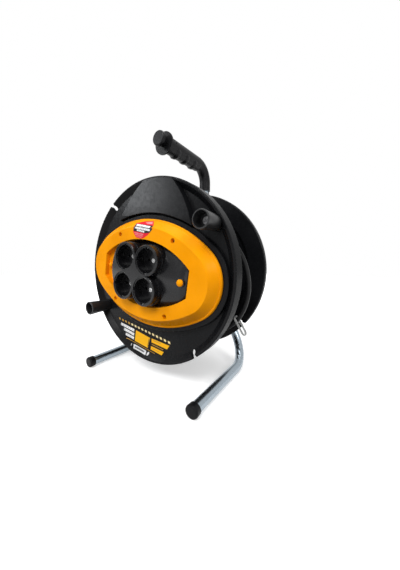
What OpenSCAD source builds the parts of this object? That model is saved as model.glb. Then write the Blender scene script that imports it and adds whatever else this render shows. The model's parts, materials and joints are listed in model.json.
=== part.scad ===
// Extension cord reel: a cable drum on a bent tube stand, with four sockets in the
// front flange, two turning knobs and a carrying handle over the drum.
// Millimetres. X to the right, Y to the back, Z up. The reel stands on Z = 0 with its
// depth centred on Y = 0. Drum pieces are drawn in the drum's own frame (U right, V up,
// W towards the user from the front rim) and turned into place.

/* [Drum] */
// Radius of the front flange
flange_r = 161; // [140:1:180]
// How much larger the rear flange's radius is
rear_extra = 0.5; // [0:0.5:6]
// Distance from the front rim to the rear flange
drum_gap = 134; // [110:1:180]
// Depth of the rim of each flange
rim_depth = 21; // [14:1:28]
// Wall thickness of the mouldings
wall = 3; // [2:0.5:4]
// How far the front flange is dished behind its rim
dish = 8; // [5:0.5:12]
// Radius of the winding core
core_r = 95; // [90:1:105]
// Gap between the drum and the floor
floor_gap = 28.5; // [22:0.5:50]
// Turn of the drum at rest
drum_turn = -8; // [-180:1:180]
// Width of the flat outer ring of the rear flange
rear_ring = 30; // [22:1:36]

/* [Rim notches] */
// Width of a notch's neck
notch_w = 6.5; // [4.5:0.5:8]
// Depth of a notch from the rim
notch_depth = 11; // [8:0.5:16]
// Angle of the front notch pair
notch_a = 135; // [120:1:150]
// Angle of the rear notch pair
rear_notch_a = -32; // [-60:1:-10]

/* [Oval cover] */
// Distance from the cover's ends to the rim
cover_margin = 18; // [14:1:30]
// Half height of the oval cover
cover_b = 91; // [84:0.5:98]
// Radius of the oval's ends
cover_end_r = 65; // [58:1:72]
// Height of the cover's flat top above the rim
cover_h = 18; // [16:0.5:26]
// Height of the cover's outer lip
lip_h = 5; // [4:0.5:8]
// Width of the outer lip
lip_w = 3; // [2:0.5:5]
// Width of the sloping side between lip and top
slope_w = 9; // [3:0.5:12]
// Width of the opening for the socket panel
window_w = 192; // [180:1:200]
// Height of the opening for the socket panel
window_h = 112; // [106:1:116]
// Radius of the opening's upper and lower arcs
window_r = 148; // [130:1:170]
// Half distance between the cover screws along the oval
screw_u = 60; // [56:1:64]
// Half distance between the cover screws across the oval
screw_v = 59.5; // [58:0.5:66]

/* [Sockets] */
// Distance between neighbouring sockets
socket_pitch = 48.5; // [47:0.5:52]
// Radius of a socket well
well_r = 20; // [18:0.5:20.5]
// Depth of a socket well
well_depth = 17.5; // [14:0.5:20]
// Outer radius of a socket tower
tower_r = 24.6; // [24:0.1:26]
// Height of the socket mouths above the rim
tower_h = 35; // [30:1:40]
// Half distance between the contact holes
contact_u = 9.5; // [9:0.5:10]
// Height of the panel's convex top above the rim
panel_h = 22; // [18:0.5:26]
// Place of the reset button along the panel
button_u = 83; // [76:1:84]
// Radius of a button
button_r = 5.3; // [4:0.1:6]
// Travel of the reset button
button_travel = 2.5; // [1.5:0.5:3]

/* [Winding knobs] */
// Distance from a knob's axis to the rim
knob_in = 14.5; // [14:0.5:20]
// Angle of the upper knob
knob_a = 38.5; // [30:0.5:45]
// Outer radius of a knob at its open end
knob_r = 13; // [11:0.1:14]
// How much slimmer a knob is at its foot
knob_taper = 2.4; // [0:0.1:3]
// Height of a knob's open end above the rim
knob_h = 36.5; // [32:0.5:55]
// Depth of the hollow in a knob's end
knob_hollow = 18; // [12:1:26]

/* [Stand] */
// Outer radius of the steel tubes
tube_r = 8.5; // [7.5:0.5:10]
// Wall of the steel tubes
tube_wall = 1.5; // [1:0.1:2]
// Half distance between the two floor runs
run_x = 120; // [105:1:140]
// How far the feet reach in front of the drum
foot_reach = 45; // [30:1:70]
// Gap between the rear flange and the leaning arms
arm_gap = 15.5; // [8:0.5:24]
// Lean of the arms from the vertical
arm_lean = 30; // [28:1:31]
// Centreline radius of the rear bends
rear_bend_r = 60; // [40:1:65]
// Centreline radius of the arch
arch_r = 48; // [44:1:52]
// Radius of the foot caps
cap_r = 10; // [9.5:0.5:13]
// Radius of the axle
axle_r = 8; // [6:0.5:9]

/* [Handle] */
// Height of the grip's axis above the drum
grip_rise = 75.5; // [60:0.5:100]
// Radius of the grip
grip_r = 13; // [11.5:0.5:15]
// Radius of the grip's collar
collar_r = 20; // [18:0.5:25]
// Distance of the collar behind the front rim
collar_y = 45; // [30:1:70]
// Centreline radius of the handle's bend
handle_bend_r = 36; // [28:1:45]
// Number of finger lobes
lobes = 3; // [3:1:4]
// Distance between finger lobes
lobe_pitch = 30; // [20:1:32]

/* [Cable] */
// Diameter of the cable
cable_d = 8.2; // [7:0.1:9]
// Depth of the wound cord, from the core to the middle of the outer layer
winding_depth = 19; // [12:1:24]
// Distance between neighbouring turns
winding_pitch = 8.7; // [8.7:0.1:10]

/* [Hidden] */
$fn = 96;
eps = 0.01;
running_gap = 0.06;     // radial gap of a turning fit
fit_gap = 0.1;          // gap of a fixed fit
move_gap = 0.4;         // gap between pieces that pass each other
small_fn = 40;

rear_flange_r = flange_r + rear_extra;
rear_ring_r = rear_flange_r - rear_ring;
axis_z = rear_flange_r + floor_gap;
cover_a = flange_r - cover_margin;
knob_at_r = flange_r - knob_in;
grip_z = axis_z + rear_flange_r + grip_rise;
winding_r = core_r + winding_depth;
winding_start = -16;                        // W of the outer layer's front end
winding_turns = floor(2 * (drum_gap + winding_start - 6) / winding_pitch) / 2;
rear_w = -drum_gap;                         // front face of the rear flange
rear_step = 6;                              // how far the middle of it lies behind its ring
rear_rim = rim_depth - 11;
floor_w = rear_w - rear_step - wall;        // rear face of the rear flange's middle
arm_w = rear_w - rear_rim - arm_gap - tube_r;
plate_t = 2.5;
plate_w = arm_w - tube_r - 0.05;            // front face of the hub plate
saddle_t = 6;
post_w = plate_w - plate_t - saddle_t - tube_r;
grip_leg_r = grip_r - 0.5;                  // radius of the grip's upright end
back_reach = grip_leg_r - post_w;
face_y = (foot_reach - back_reach) / 2;     // the front rim's plane
cable_r = cable_d / 2;

// Oval of four tangent arcs
end_c = cover_a - cover_end_r;
side_r = (end_c * end_c + cover_b * cover_b - cover_end_r * cover_end_r)
       / (2 * (cover_b - cover_end_r));
side_c = side_r - cover_b;
joint_a = atan2(side_c, end_c);
ledge = 8;                                  // pedestal ledge around the cover
notch_relief = 17;                          // half width of the gap in the rim behind a notch

// Tongue above the oval: two arcs that meet beyond the rim
tongue_arc_r = 184;
tongue_c = [90, 16];
tongue_draft = 4;
tongue_gap = 10.5;
tongue_h = 4;
tongue_tilt = 3.2;

knob_bore_r = 7.6;
spigot_r = knob_bore_r - running_gap;
knob_floor = 3;
knob_foot_r = knob_r - knob_taper;
knob_foot_w = -dish + 0.5;                  // lower end of a knob
knob_floor_w = knob_h - knob_hollow - knob_floor;

insert_r = well_r + 2;
insert_floor = 3;
insert_floor_w = tower_h - 1 - well_depth;  // bottom of a socket well
mouth_w = tower_h - 1;
clip_w = 5;
clip_t = 1;
strip_t = 1;
strip_w = 6;
contact_r = 2.6;
contact_w = insert_floor_w - insert_floor - 8;

panel_end_u = 75;                           // where the panel stops short of the left button
recess_w = 9.5;                             // floor of the cover's recess round that button
blank_u = 88;
blank_r = 4.4;
barrel_r = 92;                              // crown of the panel across its length
barrel_end_r = 20;
crown_drop = 3.6;                           // fall of the crown from the middle to the buttons
button_seat = panel_h - crown_drop;         // collar round a button
button_low = 8.8;                           // underside of the collars
channel_r = 5.5;
channel_at = core_r - wall - channel_r + 0.5;
channel_a = 60;
pilot_r = 1.9;
hub_r = 17;
bush_r = axle_r + 3;
hub_front_w = rear_w + 56;
axle_front_w = hub_front_w + 9;

foot_y = face_y - foot_reach;
arm_y = face_y - arm_w;
post_y = face_y - post_w;
cap_t = 4;
apex_z = tube_r + run_x / tan(arm_lean);
arch_c_z = apex_z - arch_r / sin(arm_lean);
bolt_r = 3;
arch_start_z = arch_c_z + arch_r * sin(arm_lean);
arm_bolt_z = [arch_start_z - 32, arch_start_z - 6];
head_sink = 1.2;                            // flats for bolt heads and nuts on the tubes
saddle_z = [axis_z + 42, axis_z + 86];
post_foot_z = axis_z + 24;
plate_top_z = axis_z + 102;
plate_low_z = arch_start_z - 46;
collar_at = face_y + collar_y;
grip_back = post_y - handle_bend_r;
collar_drop = 3;
lobe_drop = 7;
keel_back = grip_back - 4;                  // rear end of the keel that carries the lobes
grip_low_z = grip_z - 53;
grip_tongue_z = grip_z - 65;
grip_front = collar_at - 19;

// The cable's end: angle, radius and W of each point, in the drum's frame
tail_route = [
    [96, winding_r, winding_start], [86, winding_r + 0.5, winding_start],
    [76, 117.5, -16], [66, 122, -18.5], [56, 127.5, -26], [46, 132.5, -37],
    [36, 137.5, -49], [26, 142, -61], [16, 146, -72], [6, 148, -83],
    [-4, 149, -94], [-14, 149, -104], [-23, 149, -112], [-32, 149, -119.5], [-41, 147.5, -124.5],
    [-50, 145, -126.5], [-60, 142, -126.5], [-70, 138, -125], [-80, 134, -121.5], [-90, 130, -117],
    [-100, 127, -112], [-110, 125, -106], [-120, 124, -99.5], [-130, 125, -93],
    [-139, 127, -88], [-147, 130, -84], [-155, 133, -81], [-162, 136, -80]
];
plug_r = 18.5;
tie_r = [149, 172];
tie_w = rear_w + 15.5;
tie_tilt = -20;
lead_a = 90;
clamp_screw = 9;
lead_w = -70;
lead_bend = 34;
lead_turn_r = 50;
clamp_r = [79, 90];

black = [0.09, 0.09, 0.1];
soft_black = [0.13, 0.13, 0.14];
yellow = [0.96, 0.62, 0.05];
steel = [0.72, 0.74, 0.76];
zinc = [0.6, 0.63, 0.66];
brass = [0.78, 0.62, 0.3];
nylon = [0.9, 0.9, 0.88];

// ---------- frames and small shapes ----------

// Puts a piece drawn in the drum's frame into place
module on_drum() {
    translate([0, face_y, axis_z]) rotate([90, 0, 0]) rotate([0, 0, drum_turn]) children();
}

// Puts a piece drawn along W, centred on the axis, into place without the drum's turn
module on_axis() {
    translate([0, face_y, axis_z]) rotate([90, 0, 0]) children();
}

// A round bar along W between two heights
module disc(r, w0, w1, fn = $fn) {
    translate([0, 0, min(w0, w1)]) cylinder(r = r, h = abs(w1 - w0), $fn = fn);
}

// A hollow round bar along W
module tube(r, bore, w0, w1, fn = $fn) {
    difference() {
        disc(r, w0, w1, fn);
        disc(bore, min(w0, w1) - 1, max(w0, w1) + 1, fn);
    }
}

// A pan-head screw that points down W from the height of its seat
module screw(w, length, r, head_r, head_h) {
    difference() {
        union() {
            disc(r, w - length, w, small_fn);
            disc(head_r, w, w + head_h, small_fn);
        }
        for (a = [0, 90]) rotate([0, 0, a])
            translate([-head_r * 0.6, -0.4, w + head_h * 0.45]) cube([head_r * 1.2, 0.8, head_h]);
    }
}

// A hexagon nut or head along W
module hexagon(flats, w0, h, bore = 0) {
    difference() {
        translate([0, 0, w0]) cylinder(d = flats / cos(30), h = h, $fn = 6);
        if (bore > 0) disc(bore, w0 - 1, w0 + h + 1, small_fn);
    }
}

module both_ends() {
    children();
    rotate([0, 0, 180]) children();
}

module at_channels() {
    for (a = [channel_a, 180 - channel_a, 180 + channel_a, -channel_a])
        rotate([0, 0, a]) translate([channel_at, 0, 0]) children();
}

module at_cover_screws() {
    for (u = [-screw_u, screw_u], v = [-screw_v, screw_v]) translate([u, v, 0]) children();
}

function socket_place(i) = [(i % 2 == 0 ? -1 : 1) * socket_pitch / 2,
                            (i < 2 ? 1 : -1) * socket_pitch / 2, 0];

// ---------- the oval ----------

module oval(grow = 0) {
    for (s = [-1, 1]) translate([s * end_c, 0]) circle(r = cover_end_r + grow, $fn = 72);
    reach = end_c + (cover_end_r + grow) * cos(joint_a);
    intersection() {
        translate([0, -side_c]) circle(r = side_r + grow, $fn = 144);
        translate([0, side_c]) circle(r = side_r + grow, $fn = 144);
        square([2 * reach, 2 * (cover_b + grow)], center = true);
    }
}

module oval_block(grow, w0, w1) {
    translate([0, 0, min(w0, w1)]) linear_extrude(height = abs(w1 - w0)) oval(grow);
}

// A solid with the oval's outline whose sides slope from one offset to the other
module oval_taper(low, high, w0, w1) {
    h = w1 - w0;
    far = 2 * side_r;
    joint = [end_c + far * cos(joint_a), far * sin(joint_a)];
    translate([0, 0, w0]) {
        for (s = [-1, 1]) translate([s * end_c, 0])
            cylinder(r1 = cover_end_r + low, r2 = cover_end_r + high, h = h, $fn = 72);
        intersection() {
            translate([0, -side_c])
                cylinder(r1 = side_r + low, r2 = side_r + high, h = h, $fn = 144);
            translate([0, side_c])
                cylinder(r1 = side_r + low, r2 = side_r + high, h = h, $fn = 144);
            linear_extrude(height = h)
                polygon([[end_c, 0], joint, [-joint[0], joint[1]],
                         [-end_c, 0], -joint, [joint[0], -joint[1]]]);
        }
    }
}

// The opening for the socket panel: two arcs cut off square at both ends
module window(grow = 0) {
    reach = window_r + grow;
    intersection() {
        translate([0, window_r - window_h / 2]) circle(r = reach, $fn = 120);
        translate([0, window_h / 2 - window_r]) circle(r = reach, $fn = 120);
        square([window_w + 2 * grow, window_h + 2 * grow], center = true);
    }
}

// ---------- flanges and core ----------

module notch_cut(r, turn, w0, w1) {
    neck = notch_w / 2;
    rotate([0, 0, turn]) translate([0, 0, w0]) linear_extrude(height = w1 - w0) {
        translate([r - notch_depth + neck, -neck]) square([notch_depth + 4, notch_w]);
        translate([r - notch_depth + neck, 0]) circle(r = neck + 1, $fn = small_fn);
        polygon([[r - 4, -neck], [r + 4, -neck - 4], [r + 4, neck + 4], [r - 4, neck]]);
    }
}

module tongue_side(s, grow, w0, w1) {
    translate([s * tongue_c[0], tongue_c[1], w0])
        cylinder(r1 = tongue_arc_r + grow + tongue_draft, r2 = tongue_arc_r + grow,
                 h = w1 - w0, $fn = 144);
}

// Two drafted arcs; grow is negative for the inside of the shell
module tongue_solid(grow, w0, w1) {
    difference() {
        intersection() {
            tongue_side(1, grow, w0, w1);
            tongue_side(-1, grow, w0, w1);
            disc(flange_r - wall + 0.5 + grow, w0, w1);
            translate([-flange_r, 0, w0]) cube([2 * flange_r, flange_r, w1 - w0]);
        }
        oval_block(tongue_gap - grow, w0 - 1, w1 + 1);
    }
}

module tongue() {
    difference() {
        tongue_solid(0, -dish - wall, tongue_h);
        translate([0, flange_r - wall, 0.4]) rotate([-tongue_tilt, 0, 0])
            translate([-flange_r, -flange_r, 0]) cube([2 * flange_r, 2 * flange_r, 20]);
        difference() {
            tongue_solid(-wall, -dish - wall - 1, tongue_h);
            translate([0, flange_r - wall, 0.4 - wall]) rotate([-tongue_tilt, 0, 0])
                translate([-flange_r, -flange_r, 0]) cube([2 * flange_r, 2 * flange_r, 30]);
        }
    }
}

module at_knobs() {
    both_ends() rotate([0, 0, knob_a]) translate([knob_at_r, 0, 0]) children();
}

module front_flange() {
    seat = 2.5;
    edge = 1.2;
    color(black) on_drum() {
        difference() {
            union() {
                difference() {
                    rotate_extrude($fn = 90) {
                        translate([flange_r - wall, -rim_depth]) square([wall, rim_depth - edge]);
                        intersection() {
                            translate([flange_r - edge, -edge]) circle(r = edge, $fn = small_fn);
                            translate([flange_r - wall, -4]) square([wall, 6]);
                        }
                        polygon([[flange_r - edge, 0], [flange_r - wall - 1, -0.6],
                                 [flange_r - wall - 9, -dish], [core_r - wall - 8, -dish],
                                 [core_r - wall - 8, -dish - wall],
                                 [flange_r - wall - 8, -dish - wall],
                                 [flange_r - wall, -wall - 2], [flange_r - 2, -wall]]);
                    }
                    oval_block(ledge - wall, -dish - wall - 1, 1);
                    tongue_solid(-wall, -dish - wall - 1, 1);
                }
                difference() {
                    union() {
                        oval_taper(ledge + 1, ledge, -dish - wall, -1);
                        oval_taper(ledge, ledge - 1, -1, 0);
                    }
                    oval_block(ledge - wall, -dish - wall - 1, -wall);
                }
                tongue();
                tube(core_r - wall - fit_gap, core_r - wall - fit_gap - 2.5, -wall - 7, -wall + 1);
                at_cover_screws() disc(4.5, -18, -wall + 1, small_fn);
                at_knobs() disc(knob_foot_r + seat, -dish - wall - 0.8, -dish - 0.6, 48);
            }
            translate([0, 0, -40]) linear_extrude(height = 60) {
                square([150, 104], center = true);
                square([190, 30], center = true);
            }
            at_cover_screws() disc(pilot_r, -15, 1, small_fn);
            at_knobs() disc(knob_foot_r + 1, -dish - 1, 5, 48);
            at_channels() disc(2.7, -30, 1, small_fn);
            both_ends() {
                notch_cut(flange_r, notch_a, -rim_depth - 1, 4);
                rotate([0, 0, notch_a]) translate([flange_r - wall - 0.6, -notch_relief, -rim_depth - 1])
                    cube([10, 2 * notch_relief, rim_depth - wall - 2]);
            }
        }
        at_knobs() difference() {
            disc(spigot_r, -dish - 1.5, knob_floor_w - move_gap, 48);
            disc(pilot_r, knob_floor_w - 20, knob_floor_w + 1, small_fn);
        }
    }
}

module rear_flange() {
    rib_t = 2.4;
    color(black) on_drum() difference() {
        union() {
            rotate_extrude($fn = 120) {
                polygon([[rear_flange_r - 1.5, rear_w], [rear_flange_r, rear_w - 1.5],
                         [rear_flange_r, rear_w - rear_rim], [rear_flange_r - wall, rear_w - rear_rim],
                         [rear_flange_r - wall, rear_w - wall], [rear_ring_r, rear_w - wall],
                         [rear_ring_r - 4, floor_w], [0, floor_w], [0, rear_w - rear_step],
                         [rear_ring_r - 6, rear_w - rear_step], [rear_ring_r, rear_w]]);
                translate([rear_ring_r - 12, floor_w - 4]) square([rib_t, 5]);
            }
            intersection() {
                for (i = [0 : 11]) rotate([0, 0, i * 30])
                    translate([hub_r - 2, -rib_t / 2, floor_w - 4])
                        cube([rear_flange_r - hub_r, rib_t, wall + rear_step + 4 - 1]);
                rotate_extrude($fn = 96)
                    polygon([[0, floor_w - 4], [rear_ring_r, floor_w - 4],
                             [rear_flange_r - 1, rear_w - rear_rim + 4], [rear_flange_r - 1, rear_w - 1],
                             [rear_ring_r, rear_w - 1], [rear_ring_r - 5, rear_w - rear_step - 1],
                             [0, rear_w - rear_step - 1]]);
            }
            disc(hub_r, floor_w - 5, hub_front_w);
            for (i = [0 : 5]) rotate([0, 0, i * 60])
                translate([hub_r - 2, -rib_t / 2, floor_w]) cube([24, rib_t, 36]);
            tube(core_r - wall - fit_gap, core_r - wall - fit_gap - 2.5,
                 rear_w - rear_step - 1, rear_w - rear_step + 7);
        }
        disc(bush_r, floor_w - 10, hub_front_w + 1);
        at_channels() {
            disc(2.7, floor_w - 10, rear_w, small_fn);
            disc(5, floor_w - 10, floor_w + 1, small_fn);
        }
        both_ends() notch_cut(rear_flange_r, rear_notch_a, rear_w - rear_rim - 8, rear_w + 1);
    }
}

module drum_core() {
    front = -wall;
    back = rear_w - rear_step;
    color(soft_black) on_drum() difference() {
        union() {
            tube(core_r, core_r - wall, back, front);
            at_channels() intersection() {
                disc(channel_r, back + 8, front - 8, small_fn);
                translate([-20, -10, back]) cube([20 + channel_r - 0.2, 20, front - back]);
            }
        }
        at_channels() {
            disc(pilot_r, back + 7, back + 28, small_fn);
            disc(pilot_r, front - 28, front - 7, small_fn);
        }
        at_lead() {
            disc(cable_r + 0.3, -core_r - 5, -core_r + 10, small_fn);
            for (s = [-1, 1]) translate([0, s * clamp_screw, 0])
                disc(1.2, -core_r - 5, -core_r + 10, small_fn);
        }
    }
}

// Frame at the cable's way in: its Z points from the core's wall to the drum axis
module at_lead() {
    rotate([0, 0, lead_a]) translate([0, 0, lead_w]) rotate([0, -90, 0]) children();
}

module front_screws() {
    color(zinc) on_drum() at_channels() screw(0, 27, 1.85, 4.4, 2.6);
}

module rear_screws() {
    color(zinc) on_drum() at_channels()
        mirror([0, 0, 1]) screw(-floor_w - 1, 24, 1.85, 4.4, 2.6);
}

module hub_bush() {
    color(nylon) on_drum() {
        difference() {
            union() {
                disc(bush_r - fit_gap / 2, floor_w - 5, hub_front_w);
                disc(bush_r + 3, hub_front_w, hub_front_w + 2);
            }
            disc(axle_r + running_gap, floor_w - 10, hub_front_w + 5);
        }
    }
}

// ---------- cover and sockets ----------

module socket_cover() {
    top_in = -lip_w - slope_w;
    round = 2.4;
    skin = 2.5;
    color(yellow) on_drum() {
        difference() {
        union() {
            difference() {
                union() {
                    oval_block(0, 0, lip_h - 1.2);
                    oval_taper(0, -1.2, lip_h - 1.2, lip_h);
                    oval_taper(-lip_w, top_in, lip_h, cover_h - round);
                    oval_taper(top_in, top_in - round, cover_h - round, cover_h);
                }
                oval_block(-skin, -1, lip_h - skin);
                oval_taper(-lip_w - skin, top_in - skin - 1, lip_h - skin, cover_h - skin);
            }
            translate([0, 0, lip_h]) linear_extrude(height = cover_h - lip_h - 1) difference() {
                window(2.2);
                window(0);
            }
            at_cover_screws() disc(5.2, 0, cover_h - 1, small_fn);
        }
        translate([0, 0, -1]) linear_extrude(height = cover_h + 5) window(0);
        at_cover_screws() {
            disc(2.1, -1, cover_h + 1, small_fn);
            disc(3.8, 9, cover_h + 1, small_fn);
        }
        }
        difference() {
            translate([0, 0, recess_w - wall]) linear_extrude(height = wall) intersection() {
                window(1.1);
                translate([-panel_end_u - 0.3 - 40, -60]) square([40, 120]);
            }
            translate([-blank_u, 0, 0]) disc(blank_r + 0.02, 0, 20, small_fn);
        }
    }
}

module cover_screws() {
    color(zinc) on_drum() at_cover_screws() screw(9, 22, 1.85, 3.4, 2.2);
}

// Convex bar that carries the sockets: a barrel about an axis below the panel, whose
// outline along the panel falls towards the rounded ends
module panel_crown() {
    flat_u = 40;
    end_u = button_u - 4;
    end_at = barrel_r - crown_drop - barrel_end_r;
    intersection() {
        translate([0, 0, panel_h - barrel_r]) rotate([0, 90, 0])
            rotate_extrude($fn = 120) {
                polygon([[0, -end_u - barrel_end_r], [end_at, -end_u - barrel_end_r],
                         [end_at, -end_u], [barrel_r - crown_drop, -end_u], [barrel_r, -flat_u],
                         [barrel_r, flat_u], [barrel_r - crown_drop, end_u], [end_at, end_u],
                         [end_at, end_u + barrel_end_r], [0, end_u + barrel_end_r]]);
                for (s = [0, 1]) intersection() {
                    translate([end_at, s == 0 ? -end_u : end_u])
                        circle(r = barrel_end_r, $fn = 64);
                    translate([end_at, s == 0 ? -end_u - barrel_end_r : end_u])
                        square([barrel_end_r, barrel_end_r]);
                }
            }
        linear_extrude(height = panel_h + 1) window(-0.6);
    }
}

module socket_panel() {
    base_t = 3;
    under = 8;
    boss = 2.6;
    color(black) on_drum() difference() {
        union() {
            linear_extrude(height = base_t) window(5);
            panel_crown();
            for (i = [0 : 3]) translate(socket_place(i)) {
                disc(tower_r, under, tower_h - 1);
                translate([0, 0, tower_h - 1])
                    cylinder(r1 = tower_r, r2 = tower_r - 1, h = 1);
                disc(tower_r + 0.9, under, panel_h + 1.5);
            }
            translate([0, 0, under]) linear_extrude(height = tower_h - under)
                square([socket_pitch, socket_pitch], center = true);
            translate([button_u, 0, 0]) disc(button_r + 2, button_low, button_seat, small_fn);
        }
        difference() {
            translate([wall - panel_end_u, 0, panel_h - barrel_r]) rotate([0, 90, 0])
                cylinder(r = barrel_r - wall - crown_drop, h = panel_end_u - wall + button_u + 6,
                         $fn = 120);
            for (i = [0 : 3]) translate(socket_place(i)) disc(tower_r, under, 40);
            translate([button_u, 0, 0]) disc(button_r + boss, button_low, 40, small_fn);
        }
        translate([-panel_end_u - 40, -60, base_t + 0.2]) cube([40, 120, 40]);
        for (i = [0 : 3]) translate(socket_place(i)) disc(insert_r + fit_gap, -1, tower_h + 1);
        for (v = [-1, 1]) translate([0, v * (socket_pitch / 2 + 13), tower_h - 8])
            rotate([0, 0, v * 90]) cylinder(r = 4.2, h = 20, $fn = 3);
        translate([button_u, 0, 0]) disc(button_r + 0.3, -1, 40, small_fn);
    }
}

// Socket well with contact holes, clip slots and guide keys
module socket_insert(i) {
    color(soft_black) on_drum() translate(socket_place(i)) difference() {
        union() {
            disc(insert_r, insert_floor_w - insert_floor, mouth_w);
            disc(insert_r - 5, insert_floor_w - insert_floor - 2, insert_floor_w);
        }
        disc(well_r, insert_floor_w, mouth_w + 1);
        for (s = [-1, 1]) {
            translate([s * contact_u, 0, 0]) disc(contact_r, -1, 40, small_fn);
            translate([-clip_w / 2 - 0.3, s * (well_r + 0.6) - 0.8, -1])
                cube([clip_w + 0.6, 1.6, 60]);
            translate([s * (well_r + 0.4) - 0.8, -2.5, insert_floor_w + 4]) cube([1.6, 5, 30]);
        }
        disc(pilot_r, -1, 40, small_fn);
        disc(3.6, insert_floor_w - 1.6, 40, small_fn);
    }
}

// Sprung earth strip: two prongs in the well's wall, joined behind its floor
module earth_clip(i) {
    back = insert_floor_w - insert_floor - 2 - clip_t;
    color(steel) on_drum() translate(socket_place(i)) {
        difference() {
            translate([-clip_w / 2, -well_r - 1.1, back]) cube([clip_w, 2 * well_r + 2.2, clip_t]);
            disc(pilot_r + 0.1, back - 1, back + 4, small_fn);
        }
        for (s = [-1, 1])
            translate([-clip_w / 2, s * (well_r + 0.6) - clip_t / 2, back])
                cube([clip_w, clip_t, mouth_w - 3 - back]);
    }
}

module well_screws() {
    color(steel) on_drum() for (i = [0 : 3]) translate(socket_place(i))
        screw(insert_floor_w - 1.6, 8, pilot_r - 0.1, 3.4, 1.5);
}

// A bus strip that joins one contact of every socket
module strip(side, w) {
    bars = [-socket_pitch / 2 + side * contact_u, socket_pitch / 2 + side * contact_u];
    reach = socket_pitch / 2 + 10;
    link_v = side * (reach - strip_w / 2);
    for (u = bars) {
        difference() {
            translate([u - strip_w / 2, -reach, w - strip_t]) cube([strip_w, 2 * reach, strip_t]);
            for (v = [-1, 1]) translate([u, v * socket_pitch / 2, 0])
                disc(contact_r - 0.1, 0, 10, small_fn);
        }
        for (v = [-1, 1]) translate([u, v * socket_pitch / 2, 0])
            tube(contact_r + 0.7, contact_r - 0.1, w - strip_t,
                 insert_floor_w - insert_floor - 2.2, small_fn);
    }
    translate([bars[0], link_v - strip_w / 2, w - strip_t])
        cube([bars[1] - bars[0], strip_w, strip_t]);
}

module live_strip() {
    color(brass) on_drum() strip(-1, contact_w);
}

module neutral_strip() {
    color(brass) on_drum() strip(1, contact_w - 2.8);
}

// Earth strip with a post up to every clip
module earth_bar() {
    w = contact_w - 1.5;
    bar_v = socket_pitch / 2 + 14;
    color(brass) on_drum() {
        for (v = [-1, 1]) {
            translate([-socket_pitch / 2 - 3, v * bar_v - strip_w / 2, w - strip_t])
                cube([socket_pitch + 6, strip_w, strip_t]);
            for (u = [-1, 1]) translate([u * socket_pitch / 2, v * bar_v, 0])
                disc(1.5, w - strip_t, insert_floor_w - insert_floor - 2 - clip_t - 0.05, small_fn);
        }
        translate([-strip_w / 2, -bar_v, w - strip_t]) cube([strip_w, 2 * bar_v, strip_t]);
    }
}

module thermal_cutout() {
    top = button_low - 1.8 - button_travel - move_gap;
    color(soft_black) on_drum() translate([button_u, 0, 0]) difference() {
        translate([-13, -9, top - 22]) cube([18.6, 18, 22]);
        disc(3.2, top - 8, top + 4, small_fn);
    }
}

// Plunger with a domed head, a foot that stops it under the collar, and a stem
module reset_button() {
    foot_top = button_low - move_gap;
    color(yellow) on_drum() translate([button_u, 0, 0]) {
        disc(2.8, foot_top - 6.4, foot_top - 1, small_fn);
        disc(button_r + 0.6, foot_top - 1.4, foot_top, small_fn);
        button_head(foot_top - 0.5);
    }
}

module button_head(low) {
    rim = button_seat + 2;
    dome_r = 8.6;
    intersection() {
        disc(button_r, low, rim + 4, small_fn);
        translate([0, 0, rim + 1.8 - dome_r]) union() {
            sphere(r = dome_r, $fn = 64);
            disc(button_r + 1, low - rim - 4 + dome_r - 1.8, 1, small_fn);
        }
    }
}

module blank_button() {
    head = 5;
    dome_r = 8.6;
    color(yellow) on_drum() translate([-blank_u, 0, recess_w]) intersection() {
        disc(blank_r, -wall, head + 1, small_fn);
        translate([0, 0, head - dome_r]) union() {
            sphere(r = dome_r, $fn = 64);
            disc(blank_r + 1, -wall - 1 - head + dome_r, dome_r - head + 1, small_fn);
        }
    }
}

// ---------- winding knobs ----------

module knob_sleeve() {
    difference() {
        union() {
            translate([0, 0, knob_foot_w])
                cylinder(r1 = knob_foot_r, r2 = knob_r, h = knob_h - 0.8 - knob_foot_w, $fn = 64);
            translate([0, 0, knob_h - 0.8]) cylinder(r1 = knob_r, r2 = knob_r - 0.8, h = 0.8, $fn = 64);
        }
        translate([0, 0, knob_h - knob_hollow])
            cylinder(r1 = knob_r - 3.2, r2 = knob_r - 2, h = knob_hollow + 0.01, $fn = 64);
        disc(knob_r - 2, knob_h, knob_h + 1, 64);
        disc(knob_bore_r, knob_foot_w - 1, knob_floor_w, 64);
        disc(3.2, knob_floor_w - 1, knob_h, small_fn);
    }
}

module winding_knob_upper() {
    color(black) on_drum() rotate([0, 0, knob_a]) translate([knob_at_r, 0, 0]) knob_sleeve();
}

module winding_knob_lower() {
    color(black) on_drum() rotate([0, 0, knob_a + 180]) translate([knob_at_r, 0, 0]) knob_sleeve();
}

// Shoulder screws: the collar passes through the sleeve's floor, the head keeps it on
module knob_screws() {
    seat = knob_floor_w + knob_floor + move_gap;
    color(zinc) on_drum() at_knobs() {
        screw(seat, 22, pilot_r - 0.05, 5.2, 2.4);
        disc(2.9, knob_floor_w - move_gap, seat + 0.5, small_fn);
    }
}

// ---------- cable ----------

function polar(p) = [p[1] * cos(p[0]), p[1] * sin(p[0]), p[2]];
function unit(v) = v / norm(v);

// Rings of a tube along points; the drum axis keeps the rings from twisting
function ring(p, dir, r, sides, turn) =
    let (side = unit(cross(dir, [0, 0, 1])), up = cross(side, dir))
    [for (k = [0 : sides - 1])
        p + r * (cos(turn + 360 * k / sides) * side + sin(turn + 360 * k / sides) * up)];

function route_rings(pts, r, sides, turn) = [for (i = [0 : len(pts) - 1])
    ring(pts[i], unit(pts[min(i + 1, len(pts) - 1)] - pts[max(i - 1, 0)]), r, sides, turn)];

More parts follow.
